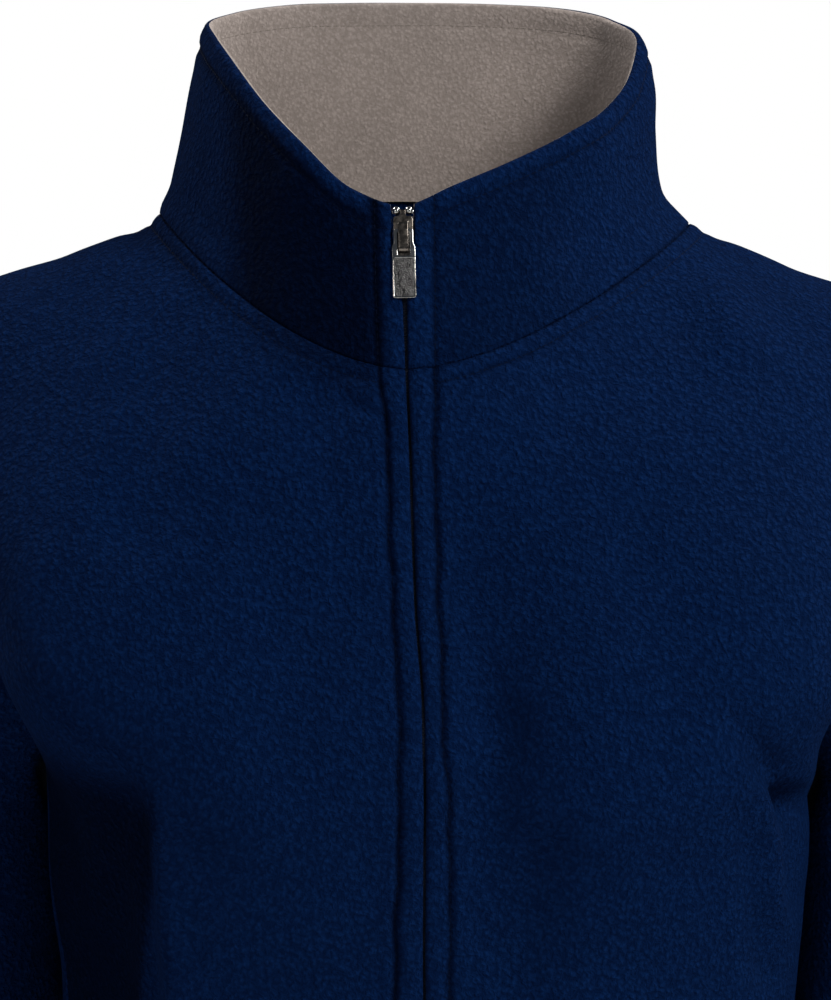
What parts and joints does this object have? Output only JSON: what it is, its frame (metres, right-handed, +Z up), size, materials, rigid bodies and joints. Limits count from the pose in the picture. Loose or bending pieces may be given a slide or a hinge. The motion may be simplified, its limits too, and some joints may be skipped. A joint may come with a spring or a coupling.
{
  "type": "women's fleece zip jacket",
  "caption": "Navy fleece jacket with a grey-lined stand collar and a closed centre-front zip, filled out with no wearer.",
  "frame": {"origin": "centre of the neck, level with the shoulder neck points, where the wearer holds it up", "axes": "+Z up, the front faces -Y, the wearer's left is +X"},
  "size_m": [0.602, 0.28, 0.741],
  "materials": {
    "navy_fleece": "matte",
    "grey_fleece": "matte",
    "zip_tape": "matte",
    "zip_teeth": "satin",
    "dark_nickel": "satin"
  },
  "bodies": {
    "jacket": {"front_left": "navy_fleece", "front_right": "navy_fleece", "back": "navy_fleece", "sleeve_left": "navy_fleece", "sleeve_right": "navy_fleece", "collar_outer": "navy_fleece", "collar_inner": "grey_fleece", "zip_tape_left": "zip_tape", "zip_tape_right": "zip_tape", "zip_chain": "zip_teeth", "zip_slider": "dark_nickel", "zip_stop_left": "dark_nickel", "zip_stop_right": "dark_nickel", "zip_box": "zip_teeth"},
    "zip_pull_tab": {"zip_pull": "dark_nickel"}
  },
  "joints": [
    {"name": "pull_swing", "type": "hinge", "parent": "jacket", "child": "zip_pull_tab", "pos_m": [-0.00953, -0.09979, -0.00454], "axis": [-0.9997, -0.003, -0.0244], "range_deg": [0, 150]}
  ]
}
